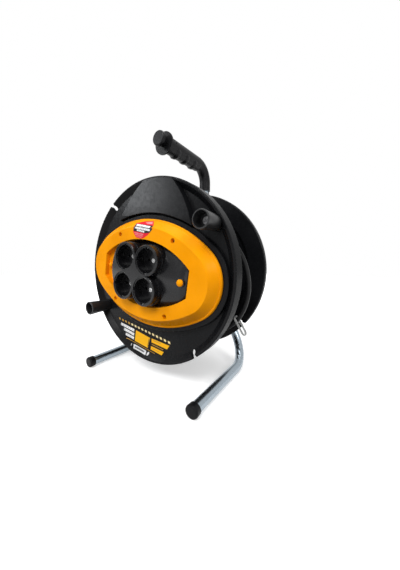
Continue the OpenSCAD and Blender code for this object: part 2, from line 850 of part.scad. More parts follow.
module swept(rings) {
    n = len(rings);
    s = len(rings[0]);
    polyhedron(
        points = [for (q = rings) each q],
        faces = concat(
            [[for (k = [0 : s - 1]) k]],
            [for (i = [0 : n - 2], k = [0 : s - 1]) [i * s + k, (i + 1) * s + k, i * s + (k + 1) % s]],
            [for (i = [0 : n - 2], k = [0 : s - 1])
                [i * s + (k + 1) % s, (i + 1) * s + k, (i + 1) * s + (k + 1) % s]],
            [[for (k = [s - 1 : -1 : 0]) (n - 1) * s + k]]));
}

winding_steps = 24;
winding_end_a = tail_route[0][0];
winding_end_w = tail_route[0][2];
winding_n = winding_turns * winding_steps;
winding_pts = concat(
    [for (i = [winding_n : -1 : 0])
        polar([winding_end_a + i * 360 / winding_steps, winding_r,
               winding_end_w - i * winding_pitch / winding_steps])]);
winding_rings = route_rings(winding_pts, cable_r, 6, 0);
// Least distance between a ring's corners and those of the next turn
winding_gap = min([for (i = [0 : winding_steps : len(winding_rings) - 1 - winding_steps],
                        a = winding_rings[i], b = winding_rings[i + winding_steps]) norm(a - b)]);

module cable_pack() {
    color(black) on_drum()
        tube(winding_r - cable_r - 1.3, core_r + 0.2, rear_w + 0.4, -dish - wall - 0.4);
}

module cable_winding() {
    echo(least_gap_between_turns = winding_gap);
    color(black) on_drum() swept(winding_rings);
}

module cable_tail() {
    color(black) on_drum()
        swept(route_rings([for (p = tail_route) polar(p)], cable_r, 8, 22.5));
}

// The cable's way in: through the core's wall, then forward to the contacts
module lead_in() {
    color(black) on_drum() bent_bar([[0, core_r, lead_w], [0, lead_turn_r, lead_w],
                                     [0, lead_turn_r, -16]], [0, lead_bend, 0], cable_r);
}

module cable_clamp() {
    color(soft_black) on_drum() at_lead() difference() {
        translate([-9, -13, -clamp_r[1]]) cube([18, 26, clamp_r[1] - clamp_r[0]]);
        disc(cable_r + 0.02, -100, -60, small_fn);
        for (s = [-1, 1]) translate([0, s * clamp_screw, 0]) disc(1.5, -100, -60, small_fn);
    }
}

module clamp_screws() {
    color(zinc) on_drum() at_lead() for (s = [-1, 1]) translate([0, s * clamp_screw, 0])
        screw(-clamp_r[0], 14, 1.15, 2.8, 1.8);
}

// The plug lies along the cable's end, tangent to the drum
module at_plug() {
    last = tail_route[len(tail_route) - 1];
    before = tail_route[len(tail_route) - 2];
    end = polar(last);
    dir = unit(end - polar(before));
    flat = atan2(dir[1], dir[0]);
    rise = asin(dir[2]);
    translate(end) rotate([0, 90 - rise, flat]) children();
}

module plug_boot() {
    color(black) on_drum() at_plug() difference() {
        translate([0, 0, 0]) cylinder(r1 = 5.4, r2 = 8, h = 26, $fn = 48);
        for (i = [0 : 4]) translate([0, 0, 4 + i * 4]) difference() {
            cylinder(r = 12, h = 1.4, $fn = 48);
            cylinder(r = 4.8 + 0.3 * i, h = 1.4, $fn = 48);
        }
    }
}

module plug_body() {
    color(black) on_drum() at_plug() translate([0, 0, 26]) difference() {
        union() {
            cylinder(r1 = 9, r2 = plug_r - 2, h = 18, $fn = 64);
            translate([0, 0, 18]) cylinder(r1 = plug_r - 2, r2 = plug_r, h = 6, $fn = 64);
            translate([0, 0, 24]) cylinder(r = plug_r, h = 12, $fn = 64);
        }
        for (s = [-1, 1]) {
            translate([-2.5, s * plug_r - 1.5, 20]) cube([5, 3, 20]);
            translate([s * plug_r - 1.5, -2.5, 26]) cube([3, 5, 14]);
            translate([0, s * contact_u, 30]) cylinder(r = 2.4, h = 10, $fn = small_fn);
        }
    }
}

module plug_pins() {
    color(steel) on_drum() at_plug() translate([0, 0, 56]) for (s = [-1, 1])
        translate([0, s * contact_u, 0]) {
            cylinder(r = 2.4, h = 23.5, $fn = small_fn);
            translate([0, 0, 23.5]) sphere(r = 2.4, $fn = small_fn);
        }
}

// Strap at the rear notch round the cable
module cable_tie() {
    half = 8.3;
    strap = 1.3;
    color(nylon) on_drum() rotate([0, 0, rear_notch_a + 2]) translate([tie_r[0], 0, tie_w])
        rotate([0, 0, tie_tilt]) translate([0, 1.8, 0]) rotate([90, 0, 0])
            linear_extrude(height = 3.6) difference() {
                strap_outline(half);
                strap_outline(half - strap);
            }
}

module strap_outline(half) {
    long = tie_r[1] - tie_r[0];
    translate([0, -half]) square([long, 2 * half]);
    for (x = [0, long]) translate([x, 0]) circle(r = half, $fn = small_fn);
}

// ---------- stand ----------

// Rigid placement with the given axes
module placed(origin, x, y, z) {
    multmatrix([[x[0], y[0], z[0], origin[0]], [x[1], y[1], z[1], origin[1]],
                [x[2], y[2], z[2], origin[2]], [0, 0, 0, 1]]) children();
}

function across(d) = unit(abs(d[2]) < 0.9 ? cross(d, [0, 0, 1]) : cross(d, [1, 0, 0]));

// Length that a bend takes from each of its straight neighbours
function bend_cut(pts, radii, i) = i == 0 || i == len(pts) - 1 ? 0 :
    let (a = unit(pts[i] - pts[i - 1]), b = unit(pts[i + 1] - pts[i]))
    radii[i] * tan(acos(a * b) / 2);

// A bent bar through corner points, each rounded with its own radius; a bend is a
// little slimmer than the straights, as bent tube is, and runs a short way into them
module bent_bar(pts, radii, r) {
    thinning = 0.05;
    overrun = 1.2;
    for (i = [0 : len(pts) - 2]) {
        d = unit(pts[i + 1] - pts[i]);
        start = pts[i] + d * bend_cut(pts, radii, i);
        stop = pts[i + 1] - d * bend_cut(pts, radii, i + 1);
        side = across(d);
        placed(start, side, cross(d, side), d) cylinder(r = r, h = norm(stop - start), $fn = 40);
    }
    for (i = [1 : len(pts) - 2]) {
        a = unit(pts[i] - pts[i - 1]);
        b = unit(pts[i + 1] - pts[i]);
        turn = acos(a * b);
        extra = overrun / radii[i] * 180 / PI;
        inward = unit(b - a * (a * b));
        centre = pts[i] - a * bend_cut(pts, radii, i) + inward * radii[i];
        placed(centre, -inward, a, cross(-inward, a)) rotate([0, 0, -extra])
            rotate_extrude(angle = turn + 2 * extra, $fn = 60)
                translate([radii[i], 0]) circle(r = r - thinning, $fn = 32);
    }
}

leg_points = [[-run_x, foot_y + cap_t, cap_r], [-run_x, arm_y, tube_r], [0, arm_y, apex_z],
              [run_x, arm_y, tube_r], [run_x, foot_y + cap_t, cap_r]];
leg_bends = [0, rear_bend_r, arch_r, rear_bend_r, 0];
post_points = [[0, post_y, post_foot_z], [0, post_y, grip_z], [0, collar_at - 2, grip_z]];
post_bends = [0, handle_bend_r, 0];

function arm_x(z) = run_x - (z - tube_r) * tan(arm_lean);

module at_arm_bolts() {
    for (s = [-1, 1], z = arm_bolt_z)
        translate([s * arm_x(z), 0, z]) children();
}

module along_y(y) {
    translate([0, y, 0]) rotate([-90, 0, 0]) children();
}

module leg_tube() {
    color(steel) difference() {
        bent_bar(leg_points, leg_bends, tube_r);
        bent_bar(leg_points, leg_bends, tube_r - tube_wall);
        at_arm_bolts() {
            along_y(arm_y - 20) cylinder(r = bolt_r + 0.2, h = 40, $fn = small_fn);
            along_y(arm_y - 20) cylinder(r = 6.2, h = 20 - tube_r + head_sink, $fn = small_fn);
        }
    }
}

// End cap: a domed head with a sleeve over the tube
module foot_cap(s) {
    reach = 7;
    d = unit(leg_points[1] - leg_points[0]);
    color(black) translate([s * run_x, foot_y, cap_r]) rotate([-90, 0, 0])
        difference() {
            rotate_extrude($fn = 64) polygon([[0, 0], [cap_r - 2.5, 0], [cap_r - 0.6, 0.8], [cap_r, 2.4],
                [cap_r, cap_t], [tube_r + 1.4, cap_t + 1.5], [tube_r + 1.2, cap_t + reach],
                [0, cap_t + reach]]);
            translate([0, 0, cap_t]) cylinder(r = tube_r + fit_gap, h = 20, $fn = 64);
        }
}

module foot_cap_left() {
    foot_cap(-1);
}

module foot_cap_right() {
    foot_cap(1);
}

plate_half = arm_x(plate_low_z);
plate_side = [[plate_half, plate_low_z], [arm_x(plate_low_z + 24) + 6, plate_low_z + 24],
              [34, axis_z - 20], [24, axis_z + 24], [16, plate_top_z - 6], [8, plate_top_z]];
plate_outline = concat(plate_side, [for (i = [len(plate_side) - 1 : -1 : 0])
                                    [-plate_side[i][0], plate_side[i][1]]]);

module hub_plate() {
    lip = 7;
    color(zinc) difference() {
        union() {
            translate([0, face_y - plate_w + plate_t, 0]) rotate([90, 0, 0])
                linear_extrude(height = plate_t) polygon(plate_outline);
            translate([0, face_y - plate_w + plate_t + lip, 0]) rotate([90, 0, 0])
                linear_extrude(height = lip + plate_t)
                    translate([-plate_half, plate_low_z]) square([2 * plate_half, plate_t]);
        }
        at_arm_bolts() along_y(arm_y) cylinder(r = bolt_r + 0.2, h = 40, $fn = small_fn);
        for (z = saddle_z) translate([0, 0, z]) along_y(arm_y)
            cylinder(r = bolt_r + 0.2, h = 60, $fn = small_fn);
        translate([0, 0, axis_z]) along_y(arm_y) cylinder(r = 6.2, h = 40, $fn = small_fn);
    }
}

module leg_bolts() {
    front = arm_y - tube_r;
    color(zinc) at_arm_bolts() {
        along_y(front) cylinder(r = bolt_r, h = 2 * tube_r + plate_t + 8, $fn = small_fn);
        along_y(front + head_sink) mirror([0, 0, 1]) hexagon(10, 0, 3.2);
    }
}

module leg_nuts() {
    color(zinc) at_arm_bolts() along_y(face_y - plate_w + plate_t) {
        tube(6, bolt_r + 0.05, 0, 1.2, small_fn);
        hexagon(10, 1.2, 5, bolt_r + 0.05);
    }
}

// Moulded blocks that seat the round post on the flat plate
module post_saddles() {
    color(black) for (z = saddle_z) difference() {
        translate([-12, face_y - plate_w + plate_t, z - 10]) cube([24, saddle_t + 6, 20]);
        translate([0, post_y, z - 20]) cylinder(r = tube_r + 0.02, h = 40, $fn = 64);
        translate([0, 0, z]) along_y(arm_y) cylinder(r = bolt_r + 0.2, h = 60, $fn = small_fn);
    }
}

module post_bolts() {
    color(zinc) for (z = saddle_z) translate([0, 0, z]) {
        along_y(face_y - plate_w - 1.5) cylinder(r = bolt_r, h = 30, $fn = small_fn);
        along_y(face_y - plate_w) mirror([0, 0, 1]) hexagon(10, 0, 4);
    }
}

module post_nuts() {
    color(zinc) for (z = saddle_z) translate([0, 0, z])
        along_y(post_y + tube_r - head_sink) hexagon(10, 0, 5, bolt_r + 0.05);
}

module handle_post() {
    color(steel) difference() {
        bent_bar(post_points, post_bends, tube_r);
        bent_bar(post_points, post_bends, tube_r - tube_wall);
        at_fixing_screw() cylinder(r = 1.5, h = 12, $fn = small_fn);
        for (z = saddle_z) translate([0, 0, z]) {
            along_y(arm_y) cylinder(r = bolt_r + 0.2, h = 60, $fn = small_fn);
            along_y(post_y + tube_r - head_sink) cylinder(r = 6.2, h = 10, $fn = small_fn);
        }
    }
}

module axle() {
    color(steel) on_axis() difference() {
        union() {
            disc(axle_r, axle_front_w, floor_w - 5.6, 64);
            disc(12, floor_w - 5.6, plate_w, 64);
            disc(6, plate_w, plate_w - plate_t - 12, small_fn);
            translate([0, 0, axle_front_w]) cylinder(r1 = axle_r, r2 = axle_r - 1, h = 1, $fn = 64);
        }
        tube(axle_r + 2, axle_r - 1, axle_front_w - 3.6, axle_front_w - 2.4, 64);
    }
}

module axle_washer() {
    color(zinc) on_axis() tube(14, axle_r + 0.1, hub_front_w + 2.4, hub_front_w + 4.2, 64);
}

module axle_ring() {
    color(steel) on_axis() difference() {
        tube(axle_r + 3, axle_r - 0.9, axle_front_w - 3.5, axle_front_w - 2.5, 64);
        translate([0, -2, axle_front_w - 5]) cube([20, 4, 5]);
    }
}

module axle_nut() {
    color(zinc) on_axis() translate([0, 0, plate_w - plate_t]) mirror([0, 0, 1]) {
        tube(11, 6.05, 0, 1.6, small_fn);
        hexagon(16, 1.6, 8, 6.05);
    }
}

// ---------- grip ----------

module grip_outer() {
    bent_bar([[0, post_y, grip_low_z], [0, post_y, grip_z], [0, grip_back - 1, grip_z]],
             [0, handle_bend_r, 0], grip_leg_r);
    along_y(collar_at + 4) translate([0, -grip_z, 0])
        cylinder(r = grip_r, h = grip_back - collar_at - 4, $fn = 64);
    translate([0, grip_back - 2, grip_z]) rotate([-90, 0, 0])
        cylinder(r1 = grip_r, r2 = grip_leg_r, h = 4, $fn = 64);
    translate([0, collar_at - 3, grip_z - collar_drop]) rotate([-90, 0, 0]) {
        cylinder(r = collar_r, h = 3, $fn = 64);
        translate([0, 0, 3]) cylinder(r1 = collar_r, r2 = grip_r - 0.6, h = 7, $fn = 64);
    }
    for (i = [0 : lobes - 1])
        translate([0, collar_at + 31 + i * lobe_pitch, grip_z - lobe_drop]) sphere(r = 12.5, $fn = 48);
    along_y(collar_at + 2) translate([0, lobe_drop - grip_z, 0])
        cylinder(r = 10.4, h = keel_back - collar_at - 2, $fn = 48);
    translate([0, keel_back, grip_z - lobe_drop]) sphere(r = 10.4, $fn = 48);
    translate([0, post_y + 2, grip_tongue_z]) intersection() {
        cylinder(r = grip_leg_r - 2, h = 20, $fn = 64);
        translate([-6, 2, 0]) cube([12, 20, 20]);
    }
}

module grip_half() {
    difference() {
        intersection() {
            grip_outer();
            translate([0, face_y, 300]) cube([50, 300, 200]);
        }
        bent_bar([[0, post_y, 300], [0, post_y, grip_z], [0, collar_at - 10, grip_z]],
                 [0, handle_bend_r, 0], tube_r + fit_gap);
    }
}

module grip_screw_holes() {
    for (p = grip_screw_places) translate([0, p[0], p[1]]) rotate([0, -90, 0]) {
        translate([0, 0, -6]) cylinder(r = 1.4, h = 20, $fn = small_fn);
        translate([0, 0, 8]) cylinder(r = 2.6, h = 20, $fn = small_fn);
    }
}

// The screw that pins the grip to its tube, from the right
module at_fixing_screw() {
    translate([0, collar_at + 19, grip_z + 3.5]) rotate([0, 90, 0]) children();
}

grip_screw_places = [for (i = [0, lobes - 1]) [collar_at + 31 + i * lobe_pitch, grip_z - 13.8]];

module grip_left() {
    color(black) difference() {
        mirror([1, 0, 0]) grip_half();
        grip_screw_holes();
    }
}

module grip_right() {
    color(black) difference() {
        grip_half();
        grip_screw_holes();
        at_fixing_screw() {
            translate([0, 0, 2]) cylinder(r = 1.4, h = 8, $fn = small_fn);
            translate([0, 0, 9.6]) cylinder(r = 2.6, h = 10, $fn = small_fn);
        }
    }
}

// Button on a neck at the end of the grip
module grip_end() {
    color(black) translate([0, grip_front, grip_z]) rotate([-90, 0, 0]) {
        rotate_extrude($fn = 64) polygon([[0, 0], [10.9, 0], [12.6, 1], [13.2, 3], [13.2, 5.5],
            [12, 7.5], [9.5, 8.5], [9.5, 16], [6.9, 16], [6.9, 30], [0, 30]]);
    }
}

module grip_screws() {
    color(zinc) {
        for (p = grip_screw_places) translate([-8, p[0], p[1]]) rotate([0, -90, 0])
            screw(0, 12, 1.35, 2.4, 1.6);
        at_fixing_screw() screw(9.6, 6, 1.35, 2.4, 1.4);
    }
}

leg_tube();
foot_cap_left();
foot_cap_right();
hub_plate();
leg_bolts();
leg_nuts();
post_saddles();
post_bolts();
post_nuts();
axle();
axle_washer();
axle_ring();
axle_nut();
handle_post();
grip_left();
grip_right();
grip_end();
grip_screws();
front_flange();
rear_flange();
drum_core();
front_screws();
rear_screws();
hub_bush();
socket_cover();
cover_screws();
socket_panel();
socket_insert(0);  // socket_insert_1
socket_insert(1);  // socket_insert_2
socket_insert(2);  // socket_insert_3
socket_insert(3);  // socket_insert_4
earth_clip(0);  // earth_clip_1
earth_clip(1);  // earth_clip_2
earth_clip(2);  // earth_clip_3
earth_clip(3);  // earth_clip_4
well_screws();
live_strip();
neutral_strip();
earth_bar();
thermal_cutout();
reset_button();
blank_button();
cable_pack();
cable_winding();
cable_tail();
lead_in();
cable_clamp();
clamp_screws();
plug_body();
plug_boot();
plug_pins();
cable_tie();
winding_knob_upper();
winding_knob_lower();
knob_screws();
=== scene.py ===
import json
import math
import random

import bmesh
import bpy
from mathutils import Matrix, Vector


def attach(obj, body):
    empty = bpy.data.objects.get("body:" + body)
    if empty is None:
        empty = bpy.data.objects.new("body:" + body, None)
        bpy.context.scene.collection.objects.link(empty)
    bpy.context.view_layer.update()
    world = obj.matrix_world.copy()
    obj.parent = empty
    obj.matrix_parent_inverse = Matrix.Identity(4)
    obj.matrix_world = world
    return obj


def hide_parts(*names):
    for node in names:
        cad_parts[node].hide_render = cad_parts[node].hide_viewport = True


bpy.ops.wm.read_factory_settings(use_empty=True)
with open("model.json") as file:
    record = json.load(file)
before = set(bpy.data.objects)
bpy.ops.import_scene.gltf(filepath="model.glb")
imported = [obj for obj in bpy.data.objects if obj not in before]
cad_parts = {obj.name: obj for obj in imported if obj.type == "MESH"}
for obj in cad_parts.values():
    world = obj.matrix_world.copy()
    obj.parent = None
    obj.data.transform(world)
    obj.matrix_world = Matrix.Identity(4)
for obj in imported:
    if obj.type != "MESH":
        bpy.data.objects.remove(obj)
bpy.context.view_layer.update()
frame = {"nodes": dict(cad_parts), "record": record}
nodes = frame["nodes"]
rng = random.Random(7)

# ---------------------------------------------------------------- frames
MM = 0.001
FACE = -80.525          # front rim plane, mm
AXIS = 190.0            # drum axis height, mm
TURN = math.radians(-8)
CT, ST = math.cos(TURN), math.sin(TURN)


def drum(u, v, w):
    """Drum frame (right, up, towards the user) to the row frame, in metres."""
    return Vector(((u * CT - v * ST) * MM, (FACE - w) * MM, (AXIS + u * ST + v * CT) * MM))


def polar(a, r, w):
    a = math.radians(a)
    return drum(r * math.cos(a), r * math.sin(a), w)


# ---------------------------------------------------------------- camera
scene = bpy.context.scene
scene.view_settings.view_transform = "Standard"
cam_data = bpy.data.cameras.new("camera")
cam = bpy.data.objects.new("camera", cam_data)
scene.collection.objects.link(cam)
scene.camera = cam
PICTURE = (400, 570)                # the photograph, px
OPTICAL_CENTRE = (180, 275)         # where the lens points in it, px; one of three tried
FOCAL = 222                         # px
CAMERA_AT = (0.2727, -0.2805 + FACE * MM, 0.2145)
SENSOR = 36
yaw, pitch, roll = math.radians(36.03), math.radians(4.27), math.radians(0.24)
back = Vector((math.sin(yaw) * math.cos(pitch), -math.cos(yaw) * math.cos(pitch), math.sin(pitch)))
right = (-back).cross(Vector((0, 0, 1))).normalized()
up = right.cross(-back)
cx = right * math.cos(roll) + up * math.sin(roll)
cy = -right * math.sin(roll) + up * math.cos(roll)
cam.matrix_world = Matrix((
    (cx.x, cy.x, back.x, CAMERA_AT[0]),
    (cx.y, cy.y, back.y, CAMERA_AT[1]),
    (cx.z, cy.z, back.z, CAMERA_AT[2]),
    (0, 0, 0, 1)))
cam_data.sensor_width = SENSOR
cam_data.lens = SENSOR * FOCAL / PICTURE[1]
cam_data.shift_x = (PICTURE[0] / 2 - OPTICAL_CENTRE[0]) / PICTURE[1]
cam_data.shift_y = (OPTICAL_CENTRE[1] - PICTURE[1] / 2) / PICTURE[1]
cam_data.clip_start, cam_data.clip_end = 0.01, 20


# ---------------------------------------------------------------- materials
def new_material(name):
    m = bpy.data.materials.new(name)
    m.use_nodes = True
    return m, m.node_tree.nodes, m.node_tree.links


def shader(m):
    return next(n for n in m.node_tree.nodes if n.type == "BSDF_PRINCIPLED")


def noise(n, l, coord, scale, detail=3.0, rough=0.5):
    t = n.new("ShaderNodeTexNoise")
    t.inputs["Scale"].default_value = scale
    t.inputs["Detail"].default_value = detail
    t.inputs["Roughness"].default_value = rough
    l.new(coord, t.inputs["Vector"])
    return t


def spread(n, l, value, low, high, a=0.35, b=0.65):
    r = n.new("ShaderNodeMapRange")
    r.inputs["From Min"].default_value = a
    r.inputs["From Max"].default_value = b
    r.inputs["To Min"].default_value = low
    r.inputs["To Max"].default_value = high
    l.new(value, r.inputs["Value"])
    return r.outputs["Result"]


def soften(n, l, bump, radius):
    """Rounds the edges under a bump by a small radius."""
    if radius:
        bev = n.new("ShaderNodeBevel")
        bev.samples = 4
        bev.inputs["Radius"].default_value = radius
        l.new(bev.outputs["Normal"], bump.inputs["Normal"])


def moulded(name, color, rough, grain=900, grain_depth=0.05, smudge=0.05, coat=0.0,
            bevel=0.0005, spec=0.5, matt_rim=None):
    """Moulded plastic: slight colour and gloss drift, a fine grain, softened edges."""
    m, n, l = new_material(name)
    p = shader(m)
    tc = n.new("ShaderNodeTexCoord").outputs["Object"]
    big = noise(n, l, tc, 14, 4)
    fine = noise(n, l, tc, grain, 2)
    mid = noise(n, l, tc, 160, 4, 0.6)
    mix = n.new("ShaderNodeMix")
    mix.data_type = "RGBA"
    mix.inputs["A"].default_value = (*[c * 0.9 for c in color], 1)
    mix.inputs["B"].default_value = (*[min(1, c * 1.1 + 0.002) for c in color], 1)
    l.new(spread(n, l, big.outputs["Fac"], 0, 1), mix.inputs["Factor"])
    l.new(mix.outputs["Result"], p.inputs["Base Color"])
    l.new(spread(n, l, mid.outputs["Fac"], rough - smudge, rough + smudge), p.inputs["Roughness"])
    p.inputs["Specular IOR Level"].default_value = spec
    p.inputs["Coat Weight"].default_value = coat
    p.inputs["Coat Roughness"].default_value = 0.08
    bump = n.new("ShaderNodeBump")
    bump.inputs["Strength"].default_value = grain_depth
    bump.inputs["Distance"].default_value = 0.00004
    l.new(fine.outputs["Fac"], bump.inputs["Height"])
    l.new(bump.outputs["Normal"], p.inputs["Normal"])
    soften(n, l, bump, bevel)
    if matt_rim is not None:
        # walls that run along the drum's axis are duller than the faces across it
        way = n.new("ShaderNodeSeparateXYZ")
        l.new(n.new("ShaderNodeTexCoord").outputs["Normal"], way.inputs["Vector"])
        across = n.new("ShaderNodeMath")
        across.operation = "ABSOLUTE"
        l.new(way.outputs["Y"], across.inputs[0])
        l.new(spread(n, l, across.outputs["Value"], matt_rim, spec, 0.3, 0.8),
              p.inputs["Specular IOR Level"])
    return m


def metal(name, color, rough, streak=(1, 1, 1), streak_scale=60, tint=0.25, spangle=0.0,
          bevel=0.0003, relief=0.12, wear=0.06, ripples=False):
    """Plated or drawn metal: streaks along one direction, faint spangle and dull spots."""
    m, n, l = new_material(name)
    p = shader(m)
    tc = n.new("ShaderNodeTexCoord").outputs["Object"]
    mp = n.new("ShaderNodeMapping")
    mp.inputs["Scale"].default_value = streak
    l.new(tc, mp.inputs["Vector"])
    st = noise(n, l, mp.outputs["Vector"], streak_scale, 6, 0.65)
    blot = noise(n, l, tc, 28, 5, 0.6)
    mix = n.new("ShaderNodeMix")
    mix.data_type = "RGBA"
    mix.inputs["A"].default_value = (*[c * (1 - tint) for c in color], 1)
    mix.inputs["B"].default_value = (*color, 1)
    l.new(spread(n, l, st.outputs["Fac"], 0, 1, 0.3, 0.62), mix.inputs["Factor"])
    out = mix.outputs["Result"]
    if spangle:
        vor = n.new("ShaderNodeTexVoronoi")
        vor.inputs["Scale"].default_value = 260
        l.new(tc, vor.inputs["Vector"])
        sp = n.new("ShaderNodeMix")
        sp.data_type = "RGBA"
        sp.blend_type = "MULTIPLY"
        sp.inputs["Factor"].default_value = spangle
        l.new(out, sp.inputs["A"])
        l.new(vor.outputs["Color"], sp.inputs["B"])
        hs = n.new("ShaderNodeHueSaturation")
        hs.inputs["Saturation"].default_value = 0.25
        hs.inputs["Value"].default_value = 1.25
        l.new(sp.outputs["Result"], hs.inputs["Color"])
        out = hs.outputs["Color"]
    l.new(out, p.inputs["Base Color"])
    p.inputs["Metallic"].default_value = 1.0
    l.new(spread(n, l, blot.outputs["Fac"], rough - wear, rough + wear), p.inputs["Roughness"])
    bump = n.new("ShaderNodeBump")
    bump.inputs["Strength"].default_value = relief
    bump.inputs["Distance"].default_value = 0.0001
    l.new(st.outputs["Fac"], bump.inputs["Height"])
    soften(n, l, bump, bevel)
    l.new(bump.outputs["Normal"], p.inputs["Normal"])
    if ripples:
        buckled(n, l, tc, bump.outputs["Normal"], p.inputs["Normal"])
    return m


def buckled(n, l, coord, normal, out):
    """The small folds on the inside of a tube's lower bends."""
    parts = n.new("ShaderNodeSeparateXYZ")
    l.new(coord, parts.inputs["Vector"])
    side = n.new("ShaderNodeMath")
    side.operation = "ABSOLUTE"
    l.new(parts.outputs["X"], side.inputs[0])
    near = n.new("ShaderNodeCombineXYZ")
    l.new(side.outputs["Value"], near.inputs["X"])
    l.new(parts.outputs["Y"], near.inputs["Y"])
    l.new(parts.outputs["Z"], near.inputs["Z"])
    away = n.new("ShaderNodeVectorMath")
    away.operation = "DISTANCE"
    away.inputs[1].default_value = (0.112, 0.06, 0.022)
    l.new(near.outputs["Vector"], away.inputs[0])
    mask = spread(n, l, away.outputs["Value"], 1, 0, 0.01, 0.03)
    wave = n.new("ShaderNodeTexWave")
    wave.bands_direction = "DIAGONAL"
    wave.inputs["Scale"].default_value = 55
    wave.inputs["Distortion"].default_value = 2.2
    wave.inputs["Detail"].default_value = 1
    l.new(coord, wave.inputs["Vector"])
    by = n.new("ShaderNodeMath")
    by.operation = "MULTIPLY"
    l.new(mask, by.inputs[0])
    l.new(wave.outputs["Fac"], by.inputs[1])
    bump = n.new("ShaderNodeBump")
    bump.inputs["Strength"].default_value = 0.55
    bump.inputs["Distance"].default_value = 0.0006
    l.new(by.outputs["Value"], bump.inputs["Height"])
    l.new(normal, bump.inputs["Normal"])
    l.new(bump.outputs["Normal"], out)


def flat_print(name, color, rough=0.4):
    m, n, l = new_material(name)
    p = shader(m)
    tc = n.new("ShaderNodeTexCoord").outputs["Object"]
    f = noise(n, l, tc, 220, 3)
    mix = n.new("ShaderNodeMix")
    mix.data_type = "RGBA"
    mix.inputs["A"].default_value = (*[c * 0.93 for c in color], 1)
    mix.inputs["B"].default_value = (*color, 1)
    l.new(f.outputs["Fac"], mix.inputs["Factor"])
    l.new(mix.outputs["Result"], p.inputs["Base Color"])
    p.inputs["Roughness"].default_value = rough
    p.inputs["Specular IOR Level"].default_value = 0.15
    return m


# The specular levels are set for a white backdrop that shows in every reflection; they are lower
# than such plastics have by themselves.
MAT = {
    "flange_plastic": moulded("flange_plastic", (0.005, 0.0052, 0.006), 0.26, spec=0.08,
                              bevel=0.0008, matt_rim=0.015),
    "socket_plastic": moulded("socket_plastic", (0.005, 0.005, 0.006), 0.27, spec=0.2, coat=0.12),
    "knob_plastic": moulded("knob_plastic", (0.012, 0.0122, 0.013), 0.38, spec=0.3),
    "grip_plastic": moulded("grip_plastic", (0.006, 0.006, 0.007), 0.4, grain_depth=0.0, smudge=0.01,
                            bevel=0.0, spec=0.14),
    "cap_plastic": moulded("cap_plastic", (0.005, 0.005, 0.006), 0.34, spec=0.1),
    "inner_plastic": moulded("inner_plastic", (0.009, 0.009, 0.01), 0.5, spec=0.1),
    "yellow_plastic": moulded("yellow_plastic", (0.95, 0.335, 0.0015), 0.28, grain=700,
                              grain_depth=0.03, smudge=0.03, coat=0.02, bevel=0.0007, spec=0.03),
    "tube_steel": metal("tube_steel", (0.34, 0.395, 0.44), 0.27, (1, 0.05, 0.3), 60, 0.12, 0.0,
                        relief=0.0, bevel=0.0, wear=0.02, ripples=True),
    "zinc_plate": metal("zinc_plate", (0.17, 0.17, 0.18), 0.38, (1, 1, 1), 120, 0.2, 0.1),
    "bright_steel": metal("bright_steel", (0.42, 0.42, 0.42), 0.24, (1, 1, 1), 150, 0.12),
    "contact_brass": metal("contact_brass", (0.6, 0.42, 0.16), 0.3, (1, 1, 1), 120, 0.15),
    "cable_rubber": moulded("cable_rubber", (0.005, 0.005, 0.0055), 0.4, grain=900,
                            grain_depth=0.35, bevel=0.0002, spec=0.15),
    "nylon_white": moulded("nylon_white", (0.72, 0.73, 0.72), 0.3, coat=0.1, spec=0.2),
}
for sub in frame["record"]["subparts"]:
    o = nodes[sub["node"]]
    o.data.materials.clear()
    o.data.materials.append(MAT[sub["material_slot"]])


# ---------------------------------------------------------------- mesh helpers
def add_mesh(name, verts, faces, mat, smooth=True):
    me = bpy.data.meshes.new(name)
    me.from_pydata([tuple(v) for v in verts], [], faces)
    me.update()
    if smooth:
        for f in me.polygons:
            f.use_smooth = True
    o = bpy.data.objects.new(name, me)
    scene.collection.objects.link(o)
    if mat:
        me.materials.append(mat)
    return o


def sweep(name, pts, radius, sides, mat):
    """A round tube through points, with rings that don't twist."""
    verts, faces = [], []
    ref = None
    for i, p in enumerate(pts):
        d = (pts[min(i + 1, len(pts) - 1)] - pts[max(i - 1, 0)]).normalized()
        if ref is None:
            ref = d.orthogonal().normalized()
        ref = (ref - d * ref.dot(d)).normalized()
        side = d.cross(ref)
        for k in range(sides):
            a = 2 * math.pi * k / sides
            verts.append(p + (ref * math.cos(a) + side * math.sin(a)) * radius)
    for i in range(len(pts) - 1):
        for k in range(sides):
            a, b = i * sides + k, i * sides + (k + 1) % sides
            faces.append((a, b, b + sides, a + sides))
    faces.append(tuple(range(sides))[::-1])
    faces.append(tuple((len(pts) - 1) * sides + k for k in range(sides)))
    return add_mesh(name, verts, faces, mat)


def spline(points, step):
    """Catmull-Rom through points, sampled about every step metres."""
    out = []
    p = [points[0] * 2 - points[1]] + list(points) + [points[-1] * 2 - points[-2]]
    for i in range(1, len(p) - 2):
        a, b, c, d = p[i - 1:i + 3]
        n = max(2, round((c - b).length / step))
        for k in range(n):
            t = k / n
            out.append(0.5 * ((2 * b) + (c - a) * t + (2 * a - 5 * b + 4 * c - d) * t * t
                              + (3 * b - a - 3 * c + d) * t ** 3))
    out.append(points[-1])
    return out


